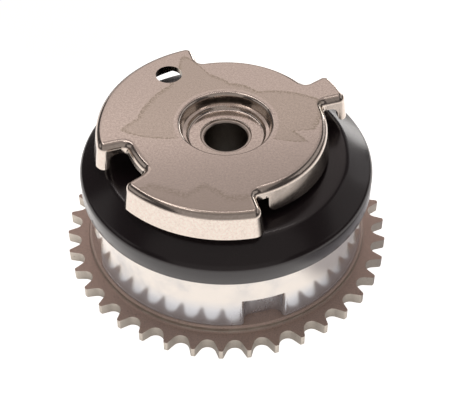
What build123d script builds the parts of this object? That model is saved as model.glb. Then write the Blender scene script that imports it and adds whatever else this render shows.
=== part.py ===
from build123d import *
from math import atan2, cos, degrees, hypot, radians, sin
import os

# Cam phaser: a hydraulic vane unit between a timing chain and a camshaft.
# Origin: centre of the sprocket's flat back face. +Z points to the front, at the trigger wheel.
# Sizes are in millimetres. Azimuths are in degrees about +Z, counted from +X.

# Chain sprocket. The seat radius follows the chain bush by the usual factor.
teeth = 38
chain_pitch = 8.0
chain_bush_d = 5.0
seat_factor = 0.505
seat_play = 0.05
tooth_addendum = 1.56
tooth_width = 3.7
tooth_flank_lean = 26.5
tooth_tip_round = 0.45
tooth_back_chamfer = 0.3
first_tooth_az = 163.84
back_boss_wall = 1.4
back_boss_h = 1.5
front_boss_step = 0.8
front_boss_h = 2.2
boss_round = 0.8
boss_chamfer = 0.5

# Stator and its chambers
vanes = 4
web_az = -75.0
web_width_deg = 36.0
stator_r = 42.2
stator_h = 20.2
stator_wall = 4.8
chamber_corner_r = 1.5
web_corner_r = 2.5
pocket_width_deg = 16.0
pocket_depth = 3.8
pocket_h = 10.5
pocket_corner_r = 2.5
pocket_edge_r = 1.2
scoop_depth = 1.9
scoop_r = 35.0

# Rotor
hub_r = 19.5
rotor_travel_deg = 25.0
stop_gap_deg = 0.3
slim_vane_deg = 16.0
lock_vane = 2
vane_root_r = 1.6
vane_tip_chamfer = 2.0
journal_step = 1.5
journal_recess = 0.3
camshaft_r = 14.0
camshaft_depth = 12.0
dowel_r = 2.05
dowel_circle_r = 11.0
dowel_depth = 4.0
dowel_az = 16.0
bolt_r = 6.35
gallery_w = 1.45
gallery_wall = 2.3
oil_port_r = 1.5
oil_port_lead_deg = 6.0
advance_port_h = 3.0
retard_port_h = 9.0

# Clearances and fits
journal_gap = 0.03
rotor_end_gap = 0.03
vane_tip_gap = 0.1
hub_gap = 0.1
seal_gap = 0.05
seal_side_gap = 0.05
press_gap = 0.005
pin_gap = 0.03
screw_gap = 0.1

# Seals and the leaf springs behind them
seal_w = 2.2
seal_h = 2.6
seal_edge = 0.2
seal_end_gap = 0.1
seal_spring_t = 0.25
seal_spring_w = 1.6
seal_spring_bow = 0.7
seal_spring_inset = 1.0

# Front plate and clamping screws
plate_step = 0.55
plate_t = 4.0
screw_edge = 10.7
screw_r = 3.0
screw_head_r = 5.3
screw_head_h = 3.4
screw_flange_r = 6.0
screw_flange_h = 0.9
screw_key_r = 2.1
screw_key_depth = 2.0
tapped_floor = 2.0
tap_bottom_gap = 0.8

# Hub bush, bias spring and anchor pin
bush_r = 12.0
bush_shoulder = 0.5
bush_spigot_r = 10.0
bush_spigot_h = 5.0
bush_collar_r = 7.3
bush_collar_h = 1.3
bush_chamfer = 0.4
spring_az = -30.0
spring_t = 1.4
spring_h = 3.6
spring_lift = 0.4
spring_turns = 3
spring_pitch = 3.4
spring_bush_gap = 1.0
spring_tab_r = 1.5
spring_tab_l = 2.6
spring_slot_gap = 0.2
spring_hook_deg = 200.0
anchor_r = 1.5
anchor_gap = 0.15
anchor_floor = 0.5
anchor_h = 4.2
edge_break = 0.3

# Black cover
cover_t = 1.15
cover_rim_drop = 0.2
cover_rim_h = 6.2
cover_cone_w = 7.9
cover_cone_h = 4.6
cover_shoulder_round = 2.2
cover_crown_round = 4.0
cover_lip_h = 0.5
cover_hole_gap = 0.7

# Trigger wheel
wheel_t = 1.8
lobe_r = 38.1
lobe_step = 8.4
lobe_edges = [(-139.0, -74.5), (17.6, 37.0), (106.5, 196.8)]
lobe_corner_r = 2.4
waist_corner_r = 2.0
skirt_h = 9.1
wheel_edge_r = 2.3
wheel_lift = 3.9
short_skirt_h = 3.5
relief_half_w = 4.0
relief_round = 1.6
relief_foot_r = 2.3
relief_leg_w = 3.0
window_skirt_h = 6.0
sight_hole_r = 4.05
sight_hole_circle_r = 28.2
sight_hole_az = 128.0

# Dished centre of the trigger wheel, from its rim inwards and down
dish_rim_r = 13.4
dish_rim_round = 1.35
dish_wall_draft = 0.7
dish_step_w = 0.9
dish_step_fall = 0.2
dish_floor_draft = 0.5
dish_wall_h = 3.4
dish_floor_h = 1.4
dish_floor_round = 1.0
dish_hole_round = 0.5

# Lock pin. Its head fills the wide vane between two walls, and the rest follows from that.
lock_outer_wall = 0.9
lock_inner_wall = 2.5
lock_head_step = 0.9
lock_head_h = 3.0
lock_nose_l = 5.0
lock_hollow_share = 0.64
lock_tip_chamfer = 0.6
lock_clear = 0.2
lock_engage = 4.4
lock_back_gap = 1.85
lock_cap_t = 2.0
lock_cap_sink = 0.1
lock_vent_share = 0.2
lock_bush_wall = 1.38
lock_bush_play = 0.12
lock_bush_floor = 0.4
coil_share = 0.8
coil_wire_share = 0.145
coil_turns = 7
coil_end_gap = 0.05

# How far a cutting shape runs past a surface, how near a corner must lie to be picked, and one turn
overcut = 1.0
near = 0.01
full_turn_deg = 360.0

# Radii and angles worked out from the sizes above
pitch_r = chain_pitch / 2 / sin(radians(180 / teeth))
tip_r = pitch_r + tooth_addendum
front_boss_r = stator_r + front_boss_step
chamber_r = stator_r - stator_wall
screw_circle_r = stator_r - screw_edge
screw_hole_r = screw_r + screw_gap
back_boss_r = screw_circle_r + screw_hole_r + back_boss_wall
journal_r = hub_r - journal_step
journal_hole_r = journal_r + journal_gap
plate_r = stator_r + plate_step
cover_r = plate_r + press_gap + cover_t
waist_r = lobe_r - lobe_step
vane_r = chamber_r - vane_tip_gap
seal_room = seal_h + seal_spring_bow + seal_spring_t
lock_far_r = vane_r - seal_room - lock_outer_wall
lock_head_bore_r = (lock_far_r - hub_r - lock_inner_wall) / 2
lock_head_r = lock_head_bore_r - pin_gap
lock_circle_r = lock_far_r - lock_head_bore_r
lock_r = lock_head_r - lock_head_step
lock_bore_r = lock_r + pin_gap
lock_hollow_r = lock_hollow_share * lock_r
coil_r = coil_share * lock_hollow_r
coil_wire = coil_wire_share * lock_r
lock_bush_r = lock_r + lock_bush_play + lock_bush_wall
bush_neck_r = bush_r - bush_shoulder
spring_inner_r = bush_r + spring_bush_gap + spring_t / 2
hook_r = anchor_r + anchor_gap + spring_t / 2
anchor_circle_r = spring_inner_r + spring_turns * spring_pitch + hook_r

web_step_deg = full_turn_deg / vanes
chamber_deg = web_step_deg - web_width_deg
stop_vane_deg = chamber_deg - rotor_travel_deg - 2 * stop_gap_deg
first_vane_az = web_az + web_step_deg / 2 - rotor_travel_deg / 2
web_azimuths = [web_az + web_step_deg * n for n in range(vanes)]
vane_azimuths = [first_vane_az + web_step_deg * n for n in range(vanes)]
vane_widths = [stop_vane_deg if n == lock_vane else slim_vane_deg for n in range(vanes)]
lock_az = vane_azimuths[lock_vane]

# Heights of the stack, worked out from the sizes above
boss_z = back_boss_h + tooth_width
stator_z = boss_z + front_boss_h
plate_z = stator_z + stator_h
plate_top_z = plate_z + plate_t
rotor_z = stator_z + rotor_end_gap
rotor_top_z = plate_z - rotor_end_gap
socket_end_z = journal_recess + camshaft_depth
bush_foot_z = rotor_top_z - bush_spigot_h
spring_z = plate_top_z + spring_lift
cover_z = plate_z - cover_rim_drop
cover_shoulder_z = cover_z + cover_rim_h
cover_top_z = cover_shoulder_z + cover_cone_h
wheel_floor_z = cover_top_z + wheel_lift
wheel_top_z = wheel_floor_z + wheel_t + dish_floor_h + dish_wall_h
skirt_z = wheel_top_z - skirt_h
lock_pin_z = stator_z + lock_clear
lock_cap_z = rotor_top_z - lock_cap_sink - lock_cap_t
lock_top_z = lock_cap_z - lock_back_gap
lock_step_z = lock_top_z - lock_head_h - lock_clear - lock_engage
lock_bush_h = lock_engage + lock_bush_floor


def polar(r, az):
    """Point at a radius and an azimuth."""
    return (r * cos(radians(az)), r * sin(radians(az)))


def turned(r, az):
    """Place at a radius and an azimuth, turned so that its X points outwards."""
    return Location((*polar(r, az), 0), (0, 0, az))


def radial_plane(az, z=0.0):
    """Plane across the radius at an azimuth: its X runs round the axis, its Y runs up."""
    return Plane(origin=(0, 0, z), x_dir=(-sin(radians(az)), cos(radians(az)), 0),
                 z_dir=(cos(radians(az)), sin(radians(az)), 0))


def off_azimuth(v, az):
    """How many degrees a corner lies away from an azimuth, to either side."""
    half_turn = full_turn_deg / 2
    return abs((degrees(atan2(v.Y, v.X)) - az + half_turn) % full_turn_deg - half_turn)


def at_radius(sketch, r, az=0.0, width_deg=full_turn_deg):
    """Corners of a sketch that lie at one radius, all round or in a width centred on an azimuth."""
    return sketch.vertices().filter_by(
        lambda v: abs(hypot(v.X, v.Y) - r) < near and off_azimuth(v, az) <= width_deg / 2)


def corners(sketch, x, y=None):
    """Corners of a profile that lie at an x, on either side, and at a y where one is given."""
    return sketch.vertices().filter_by(
        lambda v: abs(abs(v.X) - x) < near and (y is None or abs(v.Y - y) < near))


def ring_sector(inner_r, outer_r, az, width_deg):
    """Flat piece of a ring, centred on an azimuth."""
    with BuildSketch() as sector:
        with BuildLine():
            inner = CenterArc((0, 0), inner_r, az - width_deg / 2, width_deg)
            outer = CenterArc((0, 0), outer_r, az - width_deg / 2, width_deg)
            Line(inner @ 0, outer @ 0)
            Line(inner @ 1, outer @ 1)
        make_face()
    return sector.sketch


def finish(builder, label):
    """Name a finished piece and write it."""
    builder.part.label = label
    export_step(builder.part, f"parts/{label}.step")


os.makedirs("parts", exist_ok=True)

# Tooth gap of a bush chain sprocket: a round seat and two straight leaning flanks
seat_r = seat_factor * chain_bush_d + seat_play
seat_half_deg = 90 - tooth_flank_lean
flank_l = (tooth_addendum + seat_r + overcut) / cos(radians(tooth_flank_lean))

with BuildSketch() as tooth_gap:
    with BuildLine():
        seat = CenterArc((pitch_r, 0), seat_r, 180 - seat_half_deg, 2 * seat_half_deg)
        upper = PolarLine(seat @ 0, flank_l, tooth_flank_lean)
        lower = PolarLine(seat @ 1, flank_l, -tooth_flank_lean)
        Line(upper @ 1, lower @ 1)
    make_face()

with BuildSketch() as tooth_ring:
    Circle(tip_r)
    with PolarLocations(0, teeth, start_angle=first_tooth_az + 180 / teeth):
        add(tooth_gap.sketch, mode=Mode.SUBTRACT)
    fillet(at_radius(tooth_ring, tip_r), tooth_tip_round)

with BuildPart() as sprocket:
    with BuildSketch(Plane.XY.offset(back_boss_h)):
        add(tooth_ring.sketch)
    extrude(amount=tooth_width)
    # the tips are chamfered at the back
    with BuildSketch(Plane.XZ):
        with BuildLine():
            chamfer_r = tip_r - tooth_back_chamfer
            Polyline((chamfer_r, back_boss_h), (tip_r + overcut, back_boss_h),
                     (tip_r + overcut, back_boss_h + tooth_back_chamfer + overcut),
                     (chamfer_r, back_boss_h))
        make_face()
    revolve(axis=Axis.Z, mode=Mode.SUBTRACT)
    # both bosses, and the bore that runs on the rotor's journal
    with BuildSketch(Plane.XZ) as boss_section:
        with BuildLine():
            Polyline((journal_hole_r, 0), (back_boss_r, 0), (back_boss_r, back_boss_h),
                     (front_boss_r, back_boss_h), (front_boss_r, stator_z),
                     (journal_hole_r, stator_z), (journal_hole_r, 0))
        make_face()
        chamfer(corners(boss_section, back_boss_r, 0), boss_chamfer)
        chamfer(corners(boss_section, front_boss_r, stator_z), boss_chamfer)
    revolve(axis=Axis.Z)
    with BuildSketch(Plane.XY):
        Circle(journal_hole_r)
    extrude(amount=stator_z, mode=Mode.SUBTRACT)
    # concave round where the front boss stands on the teeth
    boss_root = sprocket.edges().filter_by(GeomType.CIRCLE).filter_by(
        lambda e: abs(e.radius - front_boss_r) < near and abs(e.center().Z - boss_z) < near)
    fillet(boss_root, boss_round)
    # tapped holes and the seat of the lock bush
    with BuildSketch(Plane.XY.offset(tapped_floor)):
        with PolarLocations(screw_circle_r, vanes, start_angle=web_az):
            Circle(screw_hole_r)
    extrude(amount=stator_z - tapped_floor, mode=Mode.SUBTRACT)
    with BuildSketch(Plane.XY.offset(stator_z)):
        with Locations(polar(lock_circle_r, lock_az)):
            Circle(lock_bush_r)
    extrude(amount=-lock_bush_h, mode=Mode.SUBTRACT)
finish(sprocket, "sprocket")

with BuildPart() as lock_pin_bush:
    with BuildSketch(Plane.XY.offset(stator_z)):
        with Locations(polar(lock_circle_r, lock_az)):
            Circle(lock_bush_r - press_gap)
            Circle(lock_r + lock_bush_play, mode=Mode.SUBTRACT)
    extrude(amount=-lock_bush_h)
    mouth = lock_pin_bush.edges().filter_by(GeomType.CIRCLE).group_by(Axis.Z)[-1]
    chamfer(mouth.sort_by(SortBy.RADIUS)[0], edge_break)
finish(lock_pin_bush, "lock_pin_bush")

# Stator: four chambers between four webs, with the screw holes and seal slots in the webs
hub_hole_r = hub_r + hub_gap
with BuildSketch() as stator_plan:
    Circle(stator_r)
    for az in web_azimuths:
        add(ring_sector(hub_r - overcut, chamber_r, az + web_step_deg / 2, chamber_deg), mode=Mode.SUBTRACT)
    Circle(hub_hole_r, mode=Mode.SUBTRACT)
    fillet(at_radius(stator_plan, chamber_r), chamber_corner_r)
    fillet(at_radius(stator_plan, hub_hole_r), web_corner_r)
    with PolarLocations(screw_circle_r, vanes, start_angle=web_az):
        Circle(screw_hole_r, mode=Mode.SUBTRACT)
    with PolarLocations(hub_hole_r - overcut, vanes, start_angle=web_az):
        Rectangle(overcut + seal_room, seal_w + 2 * seal_side_gap, align=(Align.MIN, Align.CENTER),
                  mode=Mode.SUBTRACT)

# one square pocket, open at the sprocket, and shallow scoops behind the other webs
with BuildSketch() as pocketed_plan:
    add(stator_plan.sketch)
    add(ring_sector(stator_r - pocket_depth, stator_r + overcut, web_az, pocket_width_deg),
        mode=Mode.SUBTRACT)
    with Locations(*(polar(stator_r - scoop_depth + scoop_r, az) for az in web_azimuths[1:])):
        Circle(scoop_r, mode=Mode.SUBTRACT)
    fillet(at_radius(pocketed_plan, stator_r - pocket_depth), pocket_corner_r)
    fillet(at_radius(pocketed_plan, stator_r, web_az, web_width_deg), pocket_edge_r)

with BuildPart() as stator_housing:
    with BuildSketch(Plane.XY.offset(stator_z)):
        add(pocketed_plan.sketch)
    extrude(amount=pocket_h)
    with BuildSketch(Plane.XY.offset(stator_z + pocket_h)):
        add(stator_plan.sketch)
    extrude(amount=stator_h - pocket_h)
finish(stator_housing, "stator_housing")

# Rotor: hub, three slim vanes and a wide one that holds the lock pin and meets the stops
with BuildSketch() as rotor_plan:
    Circle(hub_r)
    for az, width in zip(vane_azimuths, vane_widths):
        add(ring_sector(hub_r - overcut, vane_r, az, width))
    chamfer(at_radius(rotor_plan, vane_r), vane_tip_chamfer)
    fillet(at_radius(rotor_plan, hub_r), vane_root_r)
    with Locations(*(turned(vane_r + overcut, az) for az in vane_azimuths)):
        Rectangle(overcut + seal_room, seal_w + 2 * seal_side_gap, align=(Align.MAX, Align.CENTER),
                  mode=Mode.SUBTRACT)

with BuildPart() as vane_rotor:
    with BuildSketch(Plane.XY.offset(rotor_z)):
        add(rotor_plan.sketch)
    extrude(amount=rotor_top_z - rotor_z)
    with BuildSketch(Plane.XY.offset(journal_recess)):
        Circle(journal_r)
    extrude(amount=rotor_z - journal_recess)
    # camshaft socket, oil gallery round the bolt, bolt bore and the hub bush's seat
    with BuildSketch(Plane.XZ):
        with BuildLine():
            gallery_r = bolt_r + gallery_w
            gallery_end_z = bush_foot_z - gallery_wall
            spigot_hole_r = bush_spigot_r + press_gap
            Polyline((0, journal_recess - overcut), (camshaft_r, journal_recess - overcut),
                     (camshaft_r, socket_end_z), (gallery_r, socket_end_z),
                     (gallery_r, gallery_end_z), (bolt_r, gallery_end_z), (bolt_r, bush_foot_z),
                     (spigot_hole_r, bush_foot_z), (spigot_hole_r, rotor_top_z + overcut),
                     (0, rotor_top_z + overcut), (0, journal_recess - overcut))
        make_face()
    revolve(axis=Axis.Z, mode=Mode.SUBTRACT)
    with BuildSketch(Plane.XY.offset(socket_end_z)):
        with Locations(polar(dowel_circle_r, dowel_az)):
            Circle(dowel_r)
    extrude(amount=dowel_depth, mode=Mode.SUBTRACT)
    # lock pin bore with its step
    with BuildSketch(Plane.XY.offset(rotor_z)):
        with Locations(polar(lock_circle_r, lock_az)):
            Circle(lock_bore_r)
    extrude(amount=rotor_top_z - rotor_z, mode=Mode.SUBTRACT)
    with BuildSketch(Plane.XY.offset(lock_step_z)):
        with Locations(polar(lock_circle_r, lock_az)):
            Circle(lock_head_bore_r)
    extrude(amount=rotor_top_z - lock_step_z, mode=Mode.SUBTRACT)
    # oil ports: one set from the socket, one from the gallery, on either side of each vane
    for az, width in zip(vane_azimuths, vane_widths):
        for side, port_h in ((-1, advance_port_h), (1, retard_port_h)):
            with BuildSketch(radial_plane(az + side * (width / 2 + oil_port_lead_deg), rotor_z + port_h)):
                Circle(oil_port_r)
            extrude(amount=hub_r + overcut, mode=Mode.SUBTRACT)
finish(vane_rotor, "vane_rotor")


def seal_bar(label, az, near_r, bar_z, bar_l):
    """Seal bar with its long edges broken, standing along the axis."""
    with BuildPart() as bar:
        with BuildSketch(Plane.XY.offset(bar_z)):
            with Locations(turned(near_r, az)):
                Rectangle(seal_h, seal_w, align=(Align.MIN, Align.CENTER))
        extrude(amount=bar_l)
        chamfer(bar.edges().filter_by(Axis.Z), seal_edge)
    finish(bar, label)


def leaf_spring(label, az, foot_r, outward, leaf_z, leaf_l):
    """Bowed strip: its ends stand at foot_r and its middle reaches the seal bar."""
    side = Plane(origin=(*polar(foot_r, az), leaf_z), x_dir=(0, 0, 1),
                 z_dir=(-sin(radians(az)), cos(radians(az)), 0))
    thickness = outward * seal_spring_t
    bow = outward * seal_spring_bow
    with BuildPart() as leaf:
        with BuildSketch(side.offset(-seal_spring_w / 2)):
            with BuildLine():
                low = ThreePointArc((0, 0), (leaf_l / 2, bow), (leaf_l, 0))
                high = ThreePointArc((0, thickness), (leaf_l / 2, bow + thickness), (leaf_l, thickness))
                Line(low @ 0, high @ 0)
                Line(low @ 1, high @ 1)
            make_face()
        extrude(amount=seal_spring_w)
    finish(leaf, label)


seal_z = stator_z + seal_end_gap
seal_l = stator_h - 2 * seal_end_gap
leaf_z = seal_z + seal_spring_inset
leaf_l = seal_l - 2 * seal_spring_inset
for n, az in enumerate(vane_azimuths, 1):
    seal_bar(f"vane_seal_{n}", az, chamber_r - seal_gap - seal_h, seal_z, seal_l)
    leaf_spring(f"vane_seal_spring_{n}", az, vane_r - seal_room, 1, leaf_z, leaf_l)
for n, az in enumerate(web_azimuths, 1):
    seal_bar(f"web_seal_{n}", az, hub_r + seal_gap, seal_z, seal_l)
    leaf_spring(f"web_seal_spring_{n}", az, hub_hole_r + seal_room, -1, leaf_z, leaf_l)

# Lock pin, held back from its seat by oil pressure
with BuildPart() as lock_pin:
    with BuildSketch(Plane.XY.offset(lock_pin_z)):
        with Locations(polar(lock_circle_r, lock_az)):
            Circle(lock_r)
    extrude(amount=lock_top_z - lock_pin_z)
    chamfer(lock_pin.edges().filter_by(GeomType.CIRCLE).sort_by(Axis.Z)[0], lock_tip_chamfer)
    with BuildSketch(Plane.XY.offset(lock_top_z)):
        with Locations(polar(lock_circle_r, lock_az)):
            Circle(lock_head_r)
    extrude(amount=-lock_head_h)
    with BuildSketch(Plane.XY.offset(lock_pin_z + lock_nose_l)):
        with Locations(polar(lock_circle_r, lock_az)):
            Circle(lock_hollow_r)
    extrude(amount=lock_top_z - lock_pin_z - lock_nose_l, mode=Mode.SUBTRACT)
finish(lock_pin, "lock_pin")

with BuildPart() as lock_pin_cap:
    with BuildSketch(Plane.XY.offset(lock_cap_z)):
        with Locations(polar(lock_circle_r, lock_az)):
            Circle(lock_head_bore_r - press_gap)
            Circle(lock_vent_share * lock_r, mode=Mode.SUBTRACT)
    extrude(amount=lock_cap_t)
finish(lock_pin_cap, "lock_pin_cap")

# Its spring, of square wire, from the floor of the pin's hollow to the cap
coil_z = lock_pin_z + lock_nose_l + coil_end_gap + coil_wire / 2
coil_h = lock_cap_z - coil_end_gap - coil_wire / 2 - coil_z
with BuildPart() as lock_pin_spring:
    with BuildLine(Plane(origin=(*polar(lock_circle_r, lock_az), coil_z))) as coil_path:
        Helix(coil_h / coil_turns, coil_h, coil_r)
    with BuildSketch(Plane(origin=coil_path.line @ 0, z_dir=coil_path.line % 0)):
        Rectangle(coil_wire, coil_wire)
    sweep(is_frenet=True)
finish(lock_pin_spring, "lock_pin_spring")

# Front plate on the stator, and the screws that clamp the stack
with BuildPart() as front_plate:
    with BuildSketch(Plane.XY.offset(plate_z)):
        Circle(plate_r)
        Circle(bush_r + journal_gap, mode=Mode.SUBTRACT)
        with PolarLocations(screw_circle_r, vanes, start_angle=web_az):
            Circle(screw_hole_r, mode=Mode.SUBTRACT)
    extrude(amount=plate_t)
    with BuildSketch(Plane.XY.offset(plate_z + anchor_floor)):
        with Locations(polar(anchor_circle_r, spring_az)):
            Circle(anchor_r + press_gap)
    extrude(amount=plate_t - anchor_floor, mode=Mode.SUBTRACT)
finish(front_plate, "front_plate")

screw_end_z = tapped_floor + tap_bottom_gap
with BuildPart() as clamp_screws:
    with BuildSketch(Plane.XY.offset(screw_end_z)):
        with PolarLocations(screw_circle_r, vanes, start_angle=web_az):
            Circle(screw_r)
    extrude(amount=plate_top_z - screw_end_z)
    with BuildSketch(Plane.XY.offset(plate_top_z)):
        with PolarLocations(screw_circle_r, vanes, start_angle=web_az):
            Circle(screw_flange_r)
    extrude(amount=screw_flange_h)
    with BuildSketch(Plane.XY.offset(plate_top_z)):
        with PolarLocations(screw_circle_r, vanes, start_angle=web_az):
            Circle(screw_head_r)
    extrude(amount=screw_head_h)
    with BuildSketch(Plane.XY.offset(plate_top_z + screw_head_h)):
        with PolarLocations(screw_circle_r, vanes, start_angle=web_az):
            RegularPolygon(screw_key_r, 6)
    extrude(amount=-screw_key_depth, mode=Mode.SUBTRACT)
finish(clamp_screws, "clamp_screws")

with BuildPart() as spring_anchor_pin:
    with BuildSketch(Plane.XY.offset(plate_z + anchor_floor)):
        with Locations(polar(anchor_circle_r, spring_az)):
            Circle(anchor_r)
    extrude(amount=plate_t - anchor_floor + anchor_h)
    chamfer(spring_anchor_pin.edges().filter_by(GeomType.CIRCLE).group_by(Axis.Z)[-1], edge_break)
finish(spring_anchor_pin, "spring_anchor_pin")

# Spiral spring in half turns about two centres, with a tab inside and a hook outside
half_step = spring_pitch / 2
tab_x = spring_inner_r - spring_tab_r
with BuildSketch(Plane.XY.offset(spring_z).rotated((0, 0, spring_az))) as spring_plan:
    with BuildLine() as spring_line:
        Line((tab_x - spring_tab_l, -spring_tab_r), (tab_x, -spring_tab_r))
        CenterArc((tab_x, 0), spring_tab_r, -90, 90)
        for n in range(2 * spring_turns):
            CenterArc((half_step * (n % 2), 0), spring_inner_r + half_step * n, 180 * n, 180)
        CenterArc((anchor_circle_r, 0), hook_r, 180, -spring_hook_deg)
    trace(line_width=spring_t)
with BuildPart() as bias_spring:
    add(spring_plan.sketch)
    extrude(amount=spring_h)
finish(bias_spring, "bias_spring")

with BuildPart() as hub_bush:
    with BuildSketch(Plane.XZ):
        with BuildLine():
            neck_z = spring_z + spring_h
            collar_z = wheel_floor_z + bush_collar_h
            Polyline((bolt_r, bush_foot_z), (bush_spigot_r, bush_foot_z), (bush_spigot_r, rotor_top_z),
                     (bush_r, rotor_top_z), (bush_r, neck_z), (bush_neck_r, neck_z),
                     (bush_neck_r, wheel_floor_z), (bush_collar_r, wheel_floor_z),
                     (bush_collar_r, collar_z), (bolt_r, collar_z), (bolt_r, bush_foot_z))
        make_face()
    revolve(axis=Axis.Z)
    mouth = hub_bush.edges().filter_by(GeomType.CIRCLE).group_by(Axis.Z)[-1]
    chamfer(mouth.sort_by(SortBy.RADIUS)[0], bush_chamfer)
    # slot for the bias spring's inner tab
    with BuildSketch(Plane.XY.offset(spring_z - spring_slot_gap).rotated((0, 0, spring_az))):
        with Locations((tab_x - spring_tab_l - spring_slot_gap, -spring_tab_r)):
            Rectangle(bush_r, spring_t + 2 * spring_slot_gap, align=(Align.MIN, Align.CENTER))
    extrude(amount=spring_h + 2 * spring_slot_gap, mode=Mode.SUBTRACT)
finish(hub_bush, "hub_bush")

# Cover: a sheet with a rim, rounded shoulder, cone, shallow crown and the hole for the hub bush
with BuildPart() as spring_cover:
    with BuildSketch(Plane.XZ):
        with BuildLine():
            FilletPolyline((cover_r, cover_z), (cover_r, cover_shoulder_z),
                           (cover_r - cover_cone_w, cover_top_z),
                           (bush_neck_r + cover_hole_gap, cover_top_z + cover_lip_h),
                           radius=[cover_shoulder_round, cover_crown_round])
            offset(amount=cover_t, side=Side.LEFT)
        make_face()
    revolve(axis=Axis.Z)
finish(spring_cover, "spring_cover")

# Trigger wheel: outline of lobes and waists, skirt, reliefs at the steps, sight hole, dished centre
with BuildSketch() as wheel_plan:
    Circle(waist_r)
    for start, end in lobe_edges:
        add(ring_sector(waist_r - overcut, lobe_r, (start + end) / 2, end - start))
    fillet(at_radius(wheel_plan, lobe_r), lobe_corner_r)
    fillet(at_radius(wheel_plan, waist_r), waist_corner_r)

# the hollow under the sheet, with the bend's inner edge broken
with BuildPart() as wheel_hollow:
    with BuildSketch(Plane.XY.offset(skirt_z)):
        add(wheel_plan.sketch)
        offset(amount=-wheel_t, kind=Kind.INTERSECTION, mode=Mode.REPLACE)
    extrude(amount=skirt_h - wheel_t)
    chamfer(wheel_hollow.edges().group_by(Axis.Z)[-1], wheel_edge_r - wheel_t)

# the reliefs free the skirt at each step of the outline, through the waist's wall and through the
# step's own wall, where a leg of full height stays at the lobe's corner
relief_h = skirt_h - short_skirt_h
relief_foot_x = relief_half_w + relief_foot_r + overcut
with BuildSketch() as relief_profile:
    with BuildLine():
        Polyline((-relief_foot_x, -overcut), (-relief_foot_x, 0), (-relief_half_w, 0),
                 (-relief_half_w, relief_h), (relief_half_w, relief_h), (relief_half_w, 0),
                 (relief_foot_x, 0), (relief_foot_x, -overcut), (-relief_foot_x, -overcut))
    make_face()
    fillet(corners(relief_profile, relief_half_w, 0), relief_foot_r)
    fillet(corners(relief_profile, relief_half_w, relief_h), relief_round)

leg_r = lobe_r - relief_leg_w
leg_foot_r = leg_r + relief_foot_r + overcut
with BuildSketch() as leg_profile:
    with BuildLine():
        relief_start_r = waist_r - wheel_t - overcut
        Polyline((relief_start_r, -overcut), (relief_start_r, relief_h), (leg_r, relief_h), (leg_r, 0),
                 (leg_foot_r, 0), (leg_foot_r, -overcut), (relief_start_r, -overcut))
    make_face()
    fillet(corners(leg_profile, leg_r), relief_foot_r)

with BuildPart() as trigger_wheel:
    with BuildSketch(Plane.XY.offset(skirt_z)):
        add(wheel_plan.sketch)
    extrude(amount=skirt_h)
    fillet(trigger_wheel.edges().group_by(Axis.Z)[-1], wheel_edge_r)
    add(wheel_hollow.part, mode=Mode.SUBTRACT)
    for edge in [az for pair in lobe_edges for az in pair]:
        with BuildSketch(radial_plane(edge, skirt_z)):
            add(relief_profile.sketch)
        extrude(amount=waist_r + overcut, mode=Mode.SUBTRACT)
        with BuildSketch(Plane(origin=(0, 0, skirt_z), x_dir=(cos(radians(edge)), sin(radians(edge)), 0),
                               z_dir=(sin(radians(edge)), -cos(radians(edge)), 0))):
            add(leg_profile.sketch)
        extrude(amount=relief_half_w, both=True, mode=Mode.SUBTRACT)
    # window in the skirt below the sight hole, as far as the lobe's end
    with BuildSketch(Plane.XY.offset(skirt_z)):
        window_deg = 2 * (sight_hole_az - lobe_edges[-1][0])
        add(ring_sector(leg_r - overcut, lobe_r + overcut, sight_hole_az, window_deg))
    extrude(amount=skirt_h - window_skirt_h, mode=Mode.SUBTRACT)
    # the narrow waist keeps only the short skirt
    with BuildSketch(Plane.XY.offset(skirt_z)):
        narrow_start = lobe_edges[-1][1] - full_turn_deg
        narrow_end = lobe_edges[0][0]
        add(ring_sector(waist_r - wheel_t - overcut, lobe_r - wheel_t, (narrow_start + narrow_end) / 2,
                        narrow_end - narrow_start))
    extrude(amount=relief_h, mode=Mode.SUBTRACT)
    # sight hole, and the opening that the dished centre fills
    dish_joint_r = dish_rim_r + dish_rim_round + near
    with BuildSketch(Plane.XY.offset(wheel_top_z)):
        with Locations(polar(sight_hole_circle_r, sight_hole_az)):
            Circle(sight_hole_r)
        Circle(dish_joint_r)
    extrude(amount=-wheel_t, mode=Mode.SUBTRACT)
    # drawn centre: rim, wall, small step, floor and the hole on the bush's collar
    with BuildSketch(Plane.XZ) as dish_section:
        floor_top_z = wheel_floor_z + wheel_t
        step_z = floor_top_z + dish_floor_h
        wall_r = dish_rim_r - dish_wall_draft
        step_r = wall_r - dish_step_w
        floor_r = step_r - dish_floor_draft
        hole_r = bush_collar_r + press_gap
        with BuildLine():
            Polyline((dish_joint_r, wheel_top_z), (dish_rim_r, wheel_top_z), (wall_r, step_z),
                     (step_r, step_z - dish_step_fall), (floor_r, floor_top_z), (hole_r, floor_top_z),
                     (hole_r, wheel_floor_z), (step_r, wheel_floor_z),
                     (wall_r + wheel_t / 2, step_z - wheel_t), (dish_joint_r, wheel_top_z - wheel_t),
                     (dish_joint_r, wheel_top_z))
        make_face()
        fillet(corners(dish_section, dish_rim_r), dish_rim_round)
        fillet(corners(dish_section, floor_r), dish_floor_round)
        fillet(corners(dish_section, hole_r, floor_top_z), dish_hole_round)
    revolve(axis=Axis.Z)
finish(trigger_wheel, "trigger_wheel")
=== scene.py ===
# %% [markdown]
# # A cam phaser, dressed for its photograph
# The cam phaser sits between a timing chain and a camshaft and turns one against the other.
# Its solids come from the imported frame, which fixes every size and place. Blender adds what the
# frame hasn't got: broken edges, sheet metal bends, finishes, a studio and a camera.

# %% The frame and the tools
import math

import bmesh
import bpy
from mathutils import Matrix, Vector


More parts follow.
